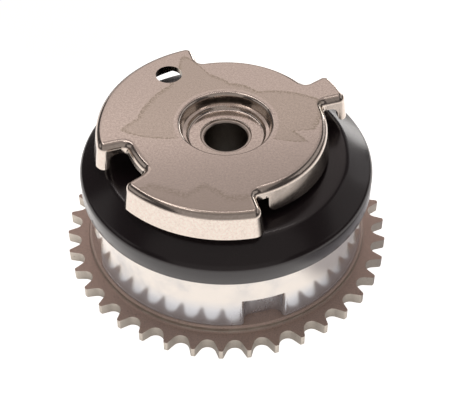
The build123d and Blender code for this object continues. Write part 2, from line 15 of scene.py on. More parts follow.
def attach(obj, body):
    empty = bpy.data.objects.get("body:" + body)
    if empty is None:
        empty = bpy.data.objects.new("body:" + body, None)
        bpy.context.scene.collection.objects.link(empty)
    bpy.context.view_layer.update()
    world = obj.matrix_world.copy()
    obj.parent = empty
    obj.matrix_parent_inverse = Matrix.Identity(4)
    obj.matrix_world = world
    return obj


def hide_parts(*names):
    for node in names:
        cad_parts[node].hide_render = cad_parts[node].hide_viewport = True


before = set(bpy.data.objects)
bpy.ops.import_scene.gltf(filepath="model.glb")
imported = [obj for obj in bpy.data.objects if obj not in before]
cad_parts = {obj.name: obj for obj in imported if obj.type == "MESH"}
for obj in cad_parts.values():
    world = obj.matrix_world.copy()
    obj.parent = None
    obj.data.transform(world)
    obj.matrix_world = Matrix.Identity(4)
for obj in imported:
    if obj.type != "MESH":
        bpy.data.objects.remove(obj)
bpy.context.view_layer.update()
MM = 0.001

# %% [markdown]
# ## The camera
# A product photograph like this one is taken with a long lens from well above the bench, so that
# the round parts look like calm ellipses. The camera could be turned by hand until the picture
# fits. Here it is placed by its height angle, its tilt and its distance, and then slid sideways
# until the part sits where the frame wants it, because each of those is one number to correct.

# %% Camera
height_angle = math.radians(45.09)
camera_tilt = math.radians(-0.20)
camera_distance = 0.3653
slide_right = -0.00019
slide_up = -0.00814
aim_height = 0.0052
lens_mm = 91.13
sensor_mm = 36.0
nearest_seen = 0.01

towards_camera = Vector((0, -math.cos(height_angle), math.sin(height_angle)))
level_right = Vector((1, 0, 0))
level_up = Vector((0, math.sin(height_angle), math.cos(height_angle)))
picture_right = math.cos(camera_tilt) * level_right + math.sin(camera_tilt) * level_up
picture_up = math.cos(camera_tilt) * level_up - math.sin(camera_tilt) * level_right
camera_place = (towards_camera * camera_distance - picture_right * slide_right
                - picture_up * slide_up + Vector((0, 0, aim_height)))

camera = bpy.data.objects.new("portrait_camera", bpy.data.cameras.new("portrait_camera"))
bpy.context.scene.collection.objects.link(camera)
camera.data.lens = lens_mm
camera.data.sensor_width = sensor_mm
camera.data.clip_start = nearest_seen
camera_turn = Matrix((picture_right, picture_up, towards_camera)).transposed().to_4x4()
camera.matrix_world = Matrix.Translation(camera_place) @ camera_turn
bpy.context.scene.camera = camera
print("camera at", [round(c, 4) for c in camera.location])

# %% [markdown]
# ## The studio
# Bare metal shows its surroundings more than its own colour. On this part the upright walls
# mirror the bench, and the flat tops mirror whatever stands behind it at 45 degrees. One large
# lamp would light the part, but leave its metal looking like grey paint. So the bench is a white
# light table, the room around it is dark, and panels are hung only where a surface should light
# up: soft ones behind the part for the flat tops, two thin tubes over it for the bright line
# along the rounded edges, and dim ones in front and to the sides.

# %% Bench
bench_size = 6.0
bpy.ops.object.select_all(action="DESELECT")
bpy.ops.mesh.primitive_plane_add(size=bench_size, location=(0, 0, 0))
bench = bpy.context.object
bench.name = "bench"
bench_paint = bpy.data.materials.new("bench_paint")
bench_paint.use_nodes = True
paint = bench_paint.node_tree.nodes["Principled BSDF"]
paint.inputs["Roughness"].default_value = 0.9
paint.inputs["Specular IOR Level"].default_value = 0.1
paint.inputs["Emission Strength"].default_value = 1.0
bench.data.materials.append(bench_paint)
print("bench", tuple(round(c, 2) for c in bench.dimensions))

# %% Room
# the camera sees pale walls, but the metal mirrors dim ones
room = bpy.data.worlds.new("room")
room.use_nodes = True
tree = room.node_tree
dim_wall = tree.nodes["Background"]
dim_wall.inputs["Color"].default_value = (1.0, 0.92, 0.92, 1)
dim_wall.inputs["Strength"].default_value = 0.07
pale_wall = tree.nodes.new("ShaderNodeBackground")
pale_wall.inputs["Strength"].default_value = 1.0
seen_by = tree.nodes.new("ShaderNodeLightPath")
choose = tree.nodes.new("ShaderNodeMixShader")
tree.links.new(seen_by.outputs["Is Camera Ray"], choose.inputs[0])
tree.links.new(dim_wall.outputs[0], choose.inputs[1])
tree.links.new(pale_wall.outputs[0], choose.inputs[2])
tree.links.new(choose.outputs[0], tree.nodes["World Output"].inputs["Surface"])
bpy.context.scene.world = room
bpy.context.scene.view_settings.view_transform = "Standard"
print("room with", len(tree.nodes), "shader nodes")


# %% Hanging a panel
def hang_panel(name, azimuth, height, distance, size, brightness, colour, along=None):
    """Hangs a soft panel that faces the part. Angles are in degrees, and brightness is what it
    looks like in a mirror, where 1 is white. Its long side is level, or runs along a direction."""
    panel = bpy.data.lights.new(name, "AREA")
    panel.shape = "RECTANGLE"
    panel.size, panel.size_y = size
    panel.energy = brightness * math.pi * size[0] * size[1]
    panel.color = colour
    holder = bpy.data.objects.new(name, panel)
    bpy.context.scene.collection.objects.link(holder)
    turn_angle, lift = math.radians(azimuth), math.radians(height)
    away = Vector((math.cos(lift) * math.cos(turn_angle), math.cos(lift) * math.sin(turn_angle),
                   math.sin(lift)))
    side = Vector(along) if along else Vector((-math.sin(turn_angle), math.cos(turn_angle), 0))
    up = away.cross(side).normalized()
    facing = Matrix((up.cross(away), up, away)).transposed().to_4x4()
    holder.matrix_world = Matrix.Translation(away * distance) @ facing
    holder.visible_camera = False


# %% Panels
# a name, an azimuth and a height angle, a distance and a size in metres, a brightness and a
# colour, and for the oblique tube also the direction that it runs along
pinkish = (1.0, 0.87, 0.84)
warm = (1.0, 0.93, 0.9)
obliquely = (-0.49, 0.872, 0)
panels = [
    # behind the part: what the flat tops and the far edges mirror
    ("low_back_panel", 99, 36, 1.2, (1.25, 0.36), 0.67, pinkish),
    ("far_edge_panel", 98, 17, 1.2, (0.85, 0.48), 0.45, pinkish),
    ("high_back_panel", 91, 70, 1.2, (1.3, 1.24), 0.40, pinkish),
    # a tube hung obliquely over the part: the bright line along the rounded edges
    ("oblique_tube", 149, 65.4, 1.1, (0.8, 0.08), 3.0, (1.0, 0.93, 0.91), obliquely),
    # a second, level tube just behind the top: the bright line along the front edges
    ("edge_tube", 90, 75, 1.05, (0.7, 0.05), 3.0, (1.0, 0.92, 0.89)),
    # in front, overhead and to the sides
    ("front_fill", -90, 24, 1.1, (1.6, 1.25), 0.30, (1.0, 0.92, 0.88)),
    ("overhead_fill", -90, 68, 1.1, (1.6, 0.6), 0.22, (1.0, 0.9, 0.86)),
    ("side_panel", 61, 6, 1.0, (0.36, 0.18), 4.2, (1.0, 0.97, 0.95)),
    ("side_fill", 46, 20, 1.1, (0.45, 0.3), 0.6, (1.0, 0.95, 0.95)),
    ("left_fill", 180, 28, 1.1, (0.9, 0.5), 0.35, warm),
    ("right_fill", 12, 32, 1.1, (0.9, 0.5), 0.35, warm),
]
for panel in panels:
    hang_panel(*panel)
print(len(panels), "panels round the part")


# %% [markdown]
# ## Helpers for the bench work
# Each piece is modelled with the same few moves: clear the selection, add or copy a shape, pick
# some of its points by where they are, and let an operator act on them. At a screen this is done
# with the mouse. In a script the picking is a test in code, which finds the same places again
# each time the script runs.

# %% Selecting
def clear_selection():
    """Leaves edit mode and selects nothing, because operators act on all that is selected."""
    if bpy.context.object and bpy.context.object.mode != "OBJECT":
        bpy.ops.object.mode_set(mode="OBJECT")
    bpy.ops.object.select_all(action="DESELECT")


def pick_points(test):
    """Selects the vertices that pass a test, and says how many they are."""
    bpy.ops.mesh.select_mode(type="VERT")
    bpy.ops.mesh.select_all(action="DESELECT")
    mesh = bmesh.from_edit_mesh(bpy.context.edit_object.data)
    found = [vertex for vertex in mesh.verts if test(vertex)]
    for vertex in found:
        vertex.select_set(True)
    mesh.select_flush_mode()
    bmesh.update_edit_mesh(bpy.context.edit_object.data)
    return len(found)


# %% Cleaning and modifiers
def tidy_skin():
    """Merges doubled vertices of the piece in edit mode and points its faces outwards."""
    bpy.ops.mesh.select_all(action="SELECT")
    bpy.ops.mesh.remove_doubles(threshold=0.002 * MM)
    bpy.ops.mesh.normals_make_consistent(inside=False)


def apply_modifier(piece, name, kind, **settings):
    """Adds a modifier with its settings and applies it at once."""
    modifier = piece.modifiers.new(name, kind)
    for key, value in settings.items():
        setattr(modifier, key, value)
    bpy.context.view_layer.objects.active = piece
    bpy.ops.object.modifier_apply(modifier=modifier.name)


# %% Joining the frame
def join_frame(piece, body, slot, *nodes):
    """Puts a finished piece on its body, in place of the frame's plain solids."""
    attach(piece, body)
    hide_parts(*nodes)
    triangles = sum(len(face.vertices) - 2 for face in piece.data.polygons)
    print(f"{piece.name}: {len(piece.data.vertices)} vertices, {triangles} triangles")


# %% [markdown]
# ## Helpers for the shaders
# A finish can be wired by hand in the shader editor. In a script every node takes a few lines to
# add, to set and to link, so each kind of node gets one helper, and a finish then reads like a
# recipe.

# %% Sockets
def put(tree, socket, value):
    """Sets a socket to a number or a colour, or feeds it from another socket."""
    if isinstance(value, (int, float)):
        socket.default_value = value
    elif isinstance(value, tuple):
        socket.default_value = (*value, 1)
    else:
        tree.links.new(value, socket)


def own_place(tree):
    """The place of a point in its piece's own coordinates, in metres."""
    return tree.nodes.new("ShaderNodeTexCoord").outputs["Object"]


def split_axes(tree, vector):
    """The X, Y and Z of a vector."""
    node = tree.nodes.new("ShaderNodeSeparateXYZ")
    put(tree, node.inputs[0], vector)
    return node.outputs


# %% Numbers and noise
def add_math(tree, operation, first, second=None, third=None, clamp=False):
    """Adds a Math node, whose inputs are sockets or plain numbers, and returns its output."""
    node = tree.nodes.new("ShaderNodeMath")
    node.operation = operation
    node.use_clamp = clamp
    for socket, value in zip(node.inputs, (first, second, third)):
        if value is not None:
            put(tree, socket, value)
    return node.outputs[0]


def add_product(tree, first, second):
    """Multiplies two masks or numbers."""
    return add_math(tree, "MULTIPLY", first, second)


def add_noise(tree, vector, scale, detail, roughness):
    """Adds a noise texture, whose scale counts its waves per metre."""
    node = tree.nodes.new("ShaderNodeTexNoise")
    for label, value in (("Detail", detail), ("Roughness", roughness), ("Scale", scale),
                         ("Vector", vector)):
        put(tree, node.inputs[label], value)
    return node.outputs["Fac"]


def add_ramp(tree, value, low, high, out_low=0.0, out_high=1.0):
    """Adds a smooth step between two values."""
    node = tree.nodes.new("ShaderNodeMapRange")
    node.interpolation_type = "SMOOTHSTEP"
    for label, number in (("From Min", low), ("From Max", high), ("To Min", out_low),
                          ("To Max", out_high), ("Value", value)):
        put(tree, node.inputs[label], number)
    return node.outputs["Result"]


# %% Colours and bumps
def add_mix(tree, mask, first, second):
    """Mixes two colours by a mask. Each is a colour or a socket."""
    node = tree.nodes.new("ShaderNodeMix")
    node.data_type = "RGBA"
    put(tree, node.inputs["Factor"], mask)
    put(tree, node.inputs[6], first)
    put(tree, node.inputs[7], second)
    return node.outputs[2]


def add_bump(tree, shader, height, distance):
    """Lets a height, over a distance in mm, ruffle the surface."""
    node = tree.nodes.new("ShaderNodeBump")
    node.inputs["Strength"].default_value = 1.0
    node.inputs["Distance"].default_value = distance * MM
    put(tree, node.inputs["Height"], height)
    put(tree, shader.inputs["Normal"], node.outputs["Normal"])


def new_finish(name, colour, metallic, roughness):
    """Starts a material and returns it with its node tree and its Principled shader."""
    finish = bpy.data.materials.new(name)
    finish.use_nodes = True
    shader = finish.node_tree.nodes["Principled BSDF"]
    for label, value in (("Base Color", colour), ("Metallic", metallic), ("Roughness", roughness)):
        put(finish.node_tree, shader.inputs[label], value)
    return finish, finish.node_tree, shader


def print_finish(finish):
    """One line on how large a material has become."""
    print(f"{finish.name}: {len(finish.node_tree.nodes)} shader nodes")


# %% [markdown]
# ## Shared effects
# Several finishes need the same things: fine grain, cloudy stains, and a way to say "near this
# radius" or "above this height". Each could be wired anew in every material. As one shader group
# it is built once, each material gives it values of its own, and a change to it reaches them
# all. The groups read Object coordinates, which stay with the piece.

# %% Group helpers
def new_group(name, inputs, outputs):
    """Starts a shader group with named sockets, and returns it with the sockets that its inside
    reads and fills. Inputs carry their starting values."""
    group = bpy.data.node_groups.new(name, "ShaderNodeTree")
    for label, value in inputs.items():
        socket = group.interface.new_socket(name=label, in_out="INPUT",
                                            socket_type="NodeSocketFloat")
        socket.default_value = value
    for label in outputs:
        group.interface.new_socket(name=label, in_out="OUTPUT", socket_type="NodeSocketFloat")
    read_from = group.nodes.new("NodeGroupInput").outputs
    send_to = group.nodes.new("NodeGroupOutput").inputs
    return group, read_from, send_to


def use_group(tree, group, **values):
    """Places a shared effect, sets its inputs and returns its outputs."""
    node = tree.nodes.new("ShaderNodeGroup")
    node.node_tree = group
    for label, value in values.items():
        node.inputs[label.replace("_", " ")].default_value = value
    return node.outputs


# %% Group: where a point is
where, _, where_out = new_group("where_on_part", {}, ["Radius", "Azimuth", "Height"])
x, y, z = split_axes(where, own_place(where))
radius_squared = add_math(where, "ADD", add_product(where, x, x), add_product(where, y, y))
radius = add_math(where, "SQRT", radius_squared)
put(where, where_out["Radius"], add_product(where, radius, 1 / MM))
put(where, where_out["Azimuth"], add_math(where, "DEGREES", add_math(where, "ARCTAN2", y, x)))
put(where, where_out["Height"], add_product(where, z, 1 / MM))
print("group", where.name, "gives millimetres and degrees")

# %% Group: fine grain
# the specks come from a coarser noise than the grain, and have a short soft edge
coarser, speck_edge = 0.45, 0.05
grain, grain_in, grain_out = new_group("fine_grain", {"Scale": 3000.0, "Speck Size": 0.62},
                                       ["Grain", "Specks"])
grain_place = own_place(grain)
fine = add_noise(grain, grain_place, grain_in["Scale"], 4.0, 0.7)
coarse = add_noise(grain, grain_place, add_product(grain, grain_in["Scale"], coarser), 2.0, 0.55)
speck_top = add_math(grain, "ADD", grain_in["Speck Size"], speck_edge)
put(grain, grain_out["Grain"], fine)
put(grain, grain_out["Specks"], add_ramp(grain, coarse, grain_in["Speck Size"], speck_top))
print("group", grain.name)

# %% Group: cloudy stains
cloud, cloud_in, cloud_out = new_group("cloudy_stain",
                                       {"Scale": 60.0, "Cover": 0.5, "Softness": 0.08}, ["Mask"])
billow = add_noise(cloud, own_place(cloud), cloud_in["Scale"], 5.0, 0.6)
cloud_low = add_math(cloud, "SUBTRACT", 1.0, cloud_in["Cover"])
cloud_high = add_math(cloud, "ADD", cloud_low, cloud_in["Softness"])
put(cloud, cloud_out["Mask"], add_ramp(cloud, billow, cloud_low, cloud_high))
print("group", cloud.name)

# %% [markdown]
# ## Sintered steel
# The sprocket is pressed from iron powder and then sintered, so it is brown-grey, matt and full
# of fine pores. Its pressed faces keep a brown oxide, and the flanks of its teeth are rubbed
# bare. The two could be painted apart by hand. Here the way that a face looks tells them apart,
# because that needs no painting and holds for all 38 teeth.
# Where a face looks up, its browner colour is partly that oxide and partly a painted reflection of
# the dim warm light above the part.

# %% Sintered steel
# the first two colours are for faces that look up: partly oxide, partly painted reflection of the
# warm light above
oxide_and_reflection_dark, oxide_and_reflection_pale = (0.49, 0.37, 0.317), (0.66, 0.5, 0.427)
bare_dark, bare_pale = (0.50, 0.453, 0.397), (0.58, 0.528, 0.465)
pore = (0.2, 0.15, 0.13)
bare_metal, oxide_metal = 0.9, 0.35

sintered_steel, tree, shader = new_finish("sintered_steel", (0.5, 0.42, 0.37), 0.6, 0.4)
speck = use_group(tree, grain, Scale=3600.0, Speck_Size=0.66)
facing = split_axes(tree, tree.nodes.new("ShaderNodeNewGeometry").outputs["Normal"])
# faces that look up get the oxide colour, which also holds a painted reflection of the warm light
# above; the flanks stay bare
level = add_ramp(tree, facing["Z"], 0.3, 0.8)
mottle = add_ramp(tree, speck["Grain"], 0.35, 0.65)
oxide_and_reflection = add_mix(tree, mottle, oxide_and_reflection_dark, oxide_and_reflection_pale)
bare = add_mix(tree, mottle, bare_dark, bare_pale)
tone = add_mix(tree, level, bare, oxide_and_reflection)
tone = add_mix(tree, add_product(tree, speck["Specks"], 0.5), tone, pore)
put(tree, shader.inputs["Base Color"], tone)
put(tree, shader.inputs["Metallic"], add_ramp(tree, level, 0.0, 1.0, bare_metal, oxide_metal))
put(tree, shader.inputs["Roughness"], add_ramp(tree, speck["Grain"], 0.3, 0.7, 0.36, 0.46))
add_bump(tree, shader, speck["Grain"], 0.006)
print_finish(sintered_steel)

# %% [markdown]
# ## Cast aluminium
# The stator is a casting of bare aluminium. It is bright near its top, and low down it fades to a
# cooler colour and a rougher, less metal-like surface: that cooler colour is a painted reflection
# of the grey-blue that the lower wall mirrors. It could be split into two materials, but their
# border would be a hard line. One material that fades by the height on the part has a soft one.

# %% Cast aluminium
turned_bright, turned_hazy = (0.74, 0.69, 0.64), (0.60, 0.575, 0.56)
# the first colour of the next line is a painted grey-blue reflection for the lower wall
painted_cool_reflection, fleck = (0.62, 0.63, 0.665), (0.5, 0.47, 0.46)
cool_band_full, cool_band_top = 12.0, 19.0
turned_metal, less_metal, rougher = 0.85, -0.1, 0.08

cast_aluminium, tree, shader = new_finish("cast_aluminium", (0.7, 0.66, 0.625), 0.85, 0.16)
skin = use_group(tree, grain, Scale=1400.0, Speck_Size=0.72)
haze = use_group(tree, cloud, Scale=70.0, Cover=0.55, Softness=0.25)
place = use_group(tree, where)
# low on the wall the colour fades to that painted reflection, and the metal grows rougher and less
# metal-like
cool_low_band = add_ramp(tree, place["Height"], cool_band_full, cool_band_top, 1.0, 0.0)
tone = add_mix(tree, haze["Mask"], turned_bright, turned_hazy)
tone = add_mix(tree, cool_low_band, tone, painted_cool_reflection)
tone = add_mix(tree, add_product(tree, skin["Specks"], 0.4), tone, fleck)
metallic = add_math(tree, "MULTIPLY_ADD", cool_low_band, less_metal, turned_metal)
roughness = add_math(tree, "MULTIPLY_ADD", cool_low_band, rougher,
                     add_ramp(tree, haze["Mask"], 0.0, 1.0, 0.12, 0.2))
put(tree, shader.inputs["Base Color"], tone)
put(tree, shader.inputs["Metallic"], metallic)
put(tree, shader.inputs["Roughness"], roughness)
add_bump(tree, shader, haze["Mask"], 0.01)
print_finish(cast_aluminium)

# %% [markdown]
# ## Black coating
# The cover is sheet steel with a thin satin black coating, which mirrors the studio softly and
# shows almost no colour of its own. A clear coat over black would mirror it too sharply. A plain
# dark surface with an uneven roughness gives the broad, quiet highlights.

# %% Black coating
coat_dark, coat_pale = (0.017, 0.012, 0.0135), (0.022, 0.0165, 0.0175)

black_coating, tree, shader = new_finish("black_coating", (0.018, 0.0135, 0.0145), 0.0, 0.25)
shader.inputs["Specular IOR Level"].default_value = 0.6
skin = use_group(tree, grain, Scale=1800.0, Speck_Size=0.7)
haze = use_group(tree, cloud, Scale=40.0, Cover=0.5, Softness=0.3)
put(tree, shader.inputs["Base Color"], add_mix(tree, haze["Mask"], coat_dark, coat_pale))
put(tree, shader.inputs["Roughness"], add_ramp(tree, skin["Grain"], 0.3, 0.7, 0.17, 0.22))
add_bump(tree, shader, skin["Grain"], 0.0005)
print_finish(black_coating)

# %% [markdown]
# ## Sheet steel of the trigger wheel
# The wheel is stamped from bright sheet steel, a little warm in colour and almost mirror smooth.
# Its colour could be one flat value, since a mirror shows mostly the studio. A fine grain and
# faint blotches are mixed in, because rolled sheet is never quite even.

# %% Trigger wheel: its own colour
sheet_pale, sheet_dark, blotch_tone = (0.72, 0.638, 0.572), (0.60, 0.53, 0.47), (0.62, 0.55, 0.49)

trigger_steel, tree, shader = new_finish("trigger_steel", (0.66, 0.585, 0.52), 1.0, 0.16)
place = use_group(tree, where)
skin = use_group(tree, grain, Scale=1500.0, Speck_Size=0.7)
blotch = use_group(tree, cloud, Scale=300.0, Cover=0.5, Softness=0.2)
tone = add_mix(tree, add_ramp(tree, skin["Grain"], 0.3, 0.7), sheet_pale, sheet_dark)
tone = add_mix(tree, add_product(tree, blotch["Mask"], 0.35), tone, blotch_tone)
print_finish(trigger_steel)


# %% [markdown]
# ## Dried oil on the trigger wheel
# Oil has crept out of the dish and dried as a thin brown film with a ragged outline and a tide
# line along it. Such an outline could be painted on an image and wrapped on. It is drawn here as
# a curve instead, which says how far the film reaches for every turn round the wheel, and noise
# makes it ragged, because that stays sharp at any size and needs no image.

# %% Drawing an outline
def add_curve(tree, value, points):
    """Sends a value from 0 to 1 through a curve that is drawn with a few points."""
    node = tree.nodes.new("ShaderNodeFloatCurve")
    curve = node.mapping.curves[0]
    curve.points[0].location, curve.points[1].location = points[0], points[-1]
    for point in points[1:-1]:
        curve.points.new(*point)
    for point in curve.points:
        point.handle_type = "VECTOR"
    node.mapping.update()
    put(tree, node.inputs["Value"], value)
    return node.outputs[0]


# %% Trigger wheel: how far the film reaches
# each point is a turn in degrees and a reach in mm, from where the film is least and round again
film_start, film_scale = -153.5, 40.0
film_outline = [(-153.5, 12), (-30, 13), (-20, 25), (-11, 20), (-7, 26), (11, 29), (19, 30),
                (40, 22), (55, 17), (77, 18), (86, 18), (103, 23), (108, 29), (112, 34),
                (115, 33), (121, 28), (135, 24), (160, 25), (176, 26), (186, 31), (193, 26),
                (206.5, 15)]
reach_points = [((turn - film_start) / 360, far / film_scale) for turn, far in film_outline]
turned = add_math(tree, "ADD", place["Azimuth"], -film_start)
turn_share = add_math(tree, "WRAP", add_math(tree, "DIVIDE", turned, 360.0), 1.0, 0.0)
reach = add_product(tree, add_curve(tree, turn_share, reach_points), film_scale)
ragged = add_noise(tree, own_place(tree), 700.0, 6.0, 0.7)
inside = add_math(tree, "ADD", add_math(tree, "SUBTRACT", reach, place["Radius"]),
                  add_product(tree, ragged, 1.6))
print("film outline of", len(film_outline), "points")

# %% Trigger wheel: the film and its tide line
# the film begins past the edge of the dish, and its tide line is its outer 2 mm, broken into dots
film_tone, tide_tone, dot_tone = (0.595, 0.528, 0.46), (0.39, 0.34, 0.27), (0.46, 0.41, 0.33)
dish_edge, outside_dish = 15.0, 15.6
outside = add_ramp(tree, place["Radius"], dish_edge, outside_dish)
film = add_product(tree, add_ramp(tree, inside, 0.5, 1.0), outside)
tide = add_product(tree, film, add_ramp(tree, inside, 1.0, 2.8, 1.0, 0.0))
dots = add_ramp(tree, skin["Grain"], 0.42, 0.56)
tone = add_mix(tree, film, tone, film_tone)
tone = add_mix(tree, add_product(tree, tide, dots), tone, tide_tone)
tone = add_mix(tree, add_product(tree, add_product(tree, film, dots), 0.25), tone, dot_tone)
print_finish(trigger_steel)

# %% [markdown]
# ## Drips on the trigger wheel
# Near the wheel's front edge a few drips have dried, darkest along their rims. Their upper end is
# a zigzag, and below it they run to the edge. They could be separate thin pieces, but a dried
# drip has no thickness to see, so they are one more stain in the wheel's colour.

# %% Trigger wheel: drips
# each point is how far to the right of the middle and how far in front of it, in mm, and
# past_zigzag counts in spans of drip_span
drip_left, drip_span = -25, 40
drip_outline = [(-25, 28), (-21, 25), (-18, 26), (-11, 29), (-6, 25), (1, 30), (15, 29)]
drip_points = [((right - drip_left) / drip_span, front / drip_span)
               for right, front in drip_outline]
per_span = 1 / (drip_span * MM)
drip_tone, rim_tone = (0.55, 0.48, 0.41), (0.46, 0.4, 0.33)

sides = split_axes(tree, own_place(tree))
across = add_math(tree, "MULTIPLY_ADD", sides["X"], per_span, -drip_left / drip_span, clamp=True)
ahead = add_product(tree, sides["Y"], -per_span)
past_zigzag = add_math(tree, "SUBTRACT", ahead, add_curve(tree, across, drip_points))
past_zigzag = add_math(tree, "MULTIPLY_ADD", ragged, 0.05,
                       add_math(tree, "SUBTRACT", past_zigzag, 0.025))
on_top = add_ramp(tree, place["Height"], 48.0, 48.5)
drip = add_product(tree, add_ramp(tree, past_zigzag, -0.02, 0.04, 0.0, 0.4), on_top)
drip_rim = add_product(tree, add_ramp(tree, past_zigzag, -0.02, 0.02),
                       add_ramp(tree, past_zigzag, 0.03, 0.08, 1.0, 0.0))
drip_rim = add_product(tree, add_product(tree, drip_rim, dots), on_top)
tone = add_mix(tree, drip, tone, drip_tone)
tone = add_mix(tree, add_product(tree, drip_rim, 0.6), tone, rim_tone)
put(tree, shader.inputs["Base Color"], tone)
put(tree, shader.inputs["Roughness"], add_ramp(tree, skin["Grain"], 0.3, 0.7, 0.12, 0.18))
add_bump(tree, shader, skin["Grain"], 0.0008)
print_finish(trigger_steel)

# %% [markdown]
# ## Hidden hardware
# Plates, pins, springs, rotor and seals are inside, and are seen only when the part is taken
# apart. Of the hardened steel only the bolt bore shows, and its wall is painted darker: painted
# shade inside the bore. A flat colour would do for what is hidden, but each gets a grain of its
# own, so that the part also looks right when it is opened.

# %% Hardened steel
# the last colour of the next line is painted shade for the inside of the bore
hard_dark, hard_pale, painted_bore_shade = (0.52, 0.47, 0.42), (0.62, 0.56, 0.5), (0.2, 0.175, 0.155)
bore_radius, bore_end = 6.4, 6.6

hardened_steel, tree, shader = new_finish("hardened_steel", (0.56, 0.51, 0.46), 1.0, 0.28)
skin = use_group(tree, grain, Scale=2200.0, Speck_Size=0.7)
place = use_group(tree, where)
# painted shade: the bore's wall is darker inside 6.6 mm radius
bore_shade = add_ramp(tree, place["Radius"], bore_radius, bore_end, 0.4, 0.0)
tone = add_mix(tree, add_ramp(tree, skin["Grain"], 0.3, 0.7), hard_dark, hard_pale)
put(tree, shader.inputs["Base Color"], add_mix(tree, bore_shade, tone, painted_bore_shade))
add_bump(tree, shader, skin["Grain"], 0.003)
print_finish(hardened_steel)

# %% Spring steel
wire_dark, wire_pale = (0.2, 0.195, 0.21), (0.27, 0.24, 0.22)

spring_steel, tree, shader = new_finish("spring_steel", (0.22, 0.21, 0.22), 1.0, 0.32)
haze = use_group(tree, cloud, Scale=220.0, Cover=0.5, Softness=0.3)
put(tree, shader.inputs["Base Color"], add_mix(tree, haze["Mask"], wire_dark, wire_pale))
print_finish(spring_steel)

# %% Rotor steel
rotor_dark, rotor_pale, rotor_pore = (0.28, 0.27, 0.26), (0.42, 0.41, 0.39), (0.15, 0.14, 0.13)

rotor_steel, tree, shader = new_finish("rotor_steel", (0.3, 0.29, 0.28), 1.0, 0.42)
speck = use_group(tree, grain, Scale=2600.0, Speck_Size=0.6)
tone = add_mix(tree, add_ramp(tree, speck["Grain"], 0.35, 0.65), rotor_dark, rotor_pale)
put(tree, shader.inputs["Base Color"], add_mix(tree, speck["Specks"], tone, rotor_pore))
add_bump(tree, shader, speck["Grain"], 0.02)
print_finish(rotor_steel)

# %% Seal polymer
polymer_dark, polymer_fleck = (0.05, 0.04, 0.032), (0.1, 0.085, 0.07)

seal_polymer, tree, shader = new_finish("seal_polymer", polymer_dark, 0.0, 0.5)
skin = use_group(tree, grain, Scale=4000.0, Speck_Size=0.6)
put(tree, shader.inputs["Base Color"],
    add_mix(tree, skin["Specks"], polymer_dark, polymer_fleck))
add_bump(tree, shader, skin["Grain"], 0.01)
print_finish(seal_polymer)


# %% [markdown]
# ## What the walls mirror in the bench
# The photograph's bench looks white, and yet the part's upright walls have dark places, so they
# must mirror something darker. Black cards laid on the bench would make them too, but each would
# be one more thing to hide from the camera. Here the bench glows white for the camera, and what
# the metal mirrors has ovals of shade, each laid where a wall looks.
# The ovals are painted shade: most stand for the part's own shadow on the bench, painted into the
# glow that the metal mirrors.

# %% Laying an oval
def add_patch(tree, centre, turn_angle, half_size):
    """Says how far a point is from the middle of an oval on the bench, where 1 is the oval's
    edge. Centre and half sizes are in mm, and the turn is in degrees."""
    oval = tree.nodes.new("ShaderNodeMapping")
    oval.vector_type = "TEXTURE"
    oval.inputs["Location"].default_value = (centre[0] * MM, centre[1] * MM, 0)
    oval.inputs["Rotation"].default_value = (0, 0, math.radians(turn_angle))
    oval.inputs["Scale"].default_value = (half_size[0] * MM, half_size[1] * MM, 1)
    put(tree, oval.inputs["Vector"], own_place(tree))
    reach = tree.nodes.new("ShaderNodeVectorMath")
    reach.operation = "LENGTH"
    put(tree, reach.inputs[0], oval.outputs["Vector"])
    return reach.outputs["Value"]


# %% Painted shade on the bench
bench_glow, bench_grey = (1.0, 0.985, 0.96), (0.9, 0.9, 0.9)
room_floor = (0.22, 0.2, 0.19)
tree = bench_paint.node_tree
# to the right of the part, the part's painted shadow on the bench: a wide half shade and a
# darker one closer by
right_painted_half_shade = add_ramp(tree, add_patch(tree, (84, -46), -26, (20, 64)), 0.7, 1.15)
glow = add_mix(tree, right_painted_half_shade, (0.47, 0.46, 0.45), bench_glow)
right_painted_shade = add_ramp(tree, add_patch(tree, (59, -16), -11, (18, 52)), 0.55, 1.1)
glow = add_mix(tree, right_painted_shade, (0.17, 0.175, 0.2), glow)
# far behind the part a dark patch, close under its teeth the part's painted contact shadow,
# and past the end of the light table the darker room floor
far_dark = add_ramp(tree, add_patch(tree, (-62, 200), 0, (55, 150)), 0.7, 1.1)
glow = add_mix(tree, far_dark, (0.02, 0.02, 0.02), glow)
painted_shadow_under_teeth = add_ramp(tree, add_patch(tree, (0, 0), 0, (50, 50)), 0.95, 1.08)
glow = add_mix(tree, painted_shadow_under_teeth, (0.25, 0.25, 0.255), glow)
table_end = add_ramp(tree, add_patch(tree, (0, 60), 0, (260, 260)), 0.85, 1.05)
glow = add_mix(tree, table_end, glow, room_floor)
# under the right rim the darkest place, painted shade
painted_shade_under_rim = add_ramp(tree, add_patch(tree, (70, -20), -11, (9, 50)), 0.5, 1.1)
glow = add_mix(tree, painted_shade_under_rim, (0.1, 0.1, 0.1), glow)
# two of them, the painted shade under the rim and the dark patch far behind, also send back
# less of the light that falls on them
board = add_mix(tree, painted_shade_under_rim, (0.08, 0.08, 0.08), bench_grey)
board = add_mix(tree, far_dark, (0.03, 0.03, 0.03), board)
put(tree, paint.inputs["Base Color"], board)
# the camera itself sees the bench white
camera_white = (1.0, 0.995, 0.985)
seen_by = tree.nodes.new("ShaderNodeLightPath").outputs["Is Camera Ray"]
put(tree, paint.inputs["Emission Color"], add_mix(tree, seen_by, glow, camera_white))
print_finish(bench_paint)

# %% [markdown]
# ## A finish on every solid
# Each of the frame's solids is one real piece, so each gets one finish. They could be listed one
# by one, but most are hardened steel and the rest can be told by their names.

# %% Each solid of the frame gets its finish
own_finish = {"sprocket": sintered_steel, "stator_housing": cast_aluminium,
              "vane_rotor": rotor_steel, "spring_cover": black_coating,
              "trigger_wheel": trigger_steel, "bias_spring": spring_steel,
              "lock_pin_spring": spring_steel}


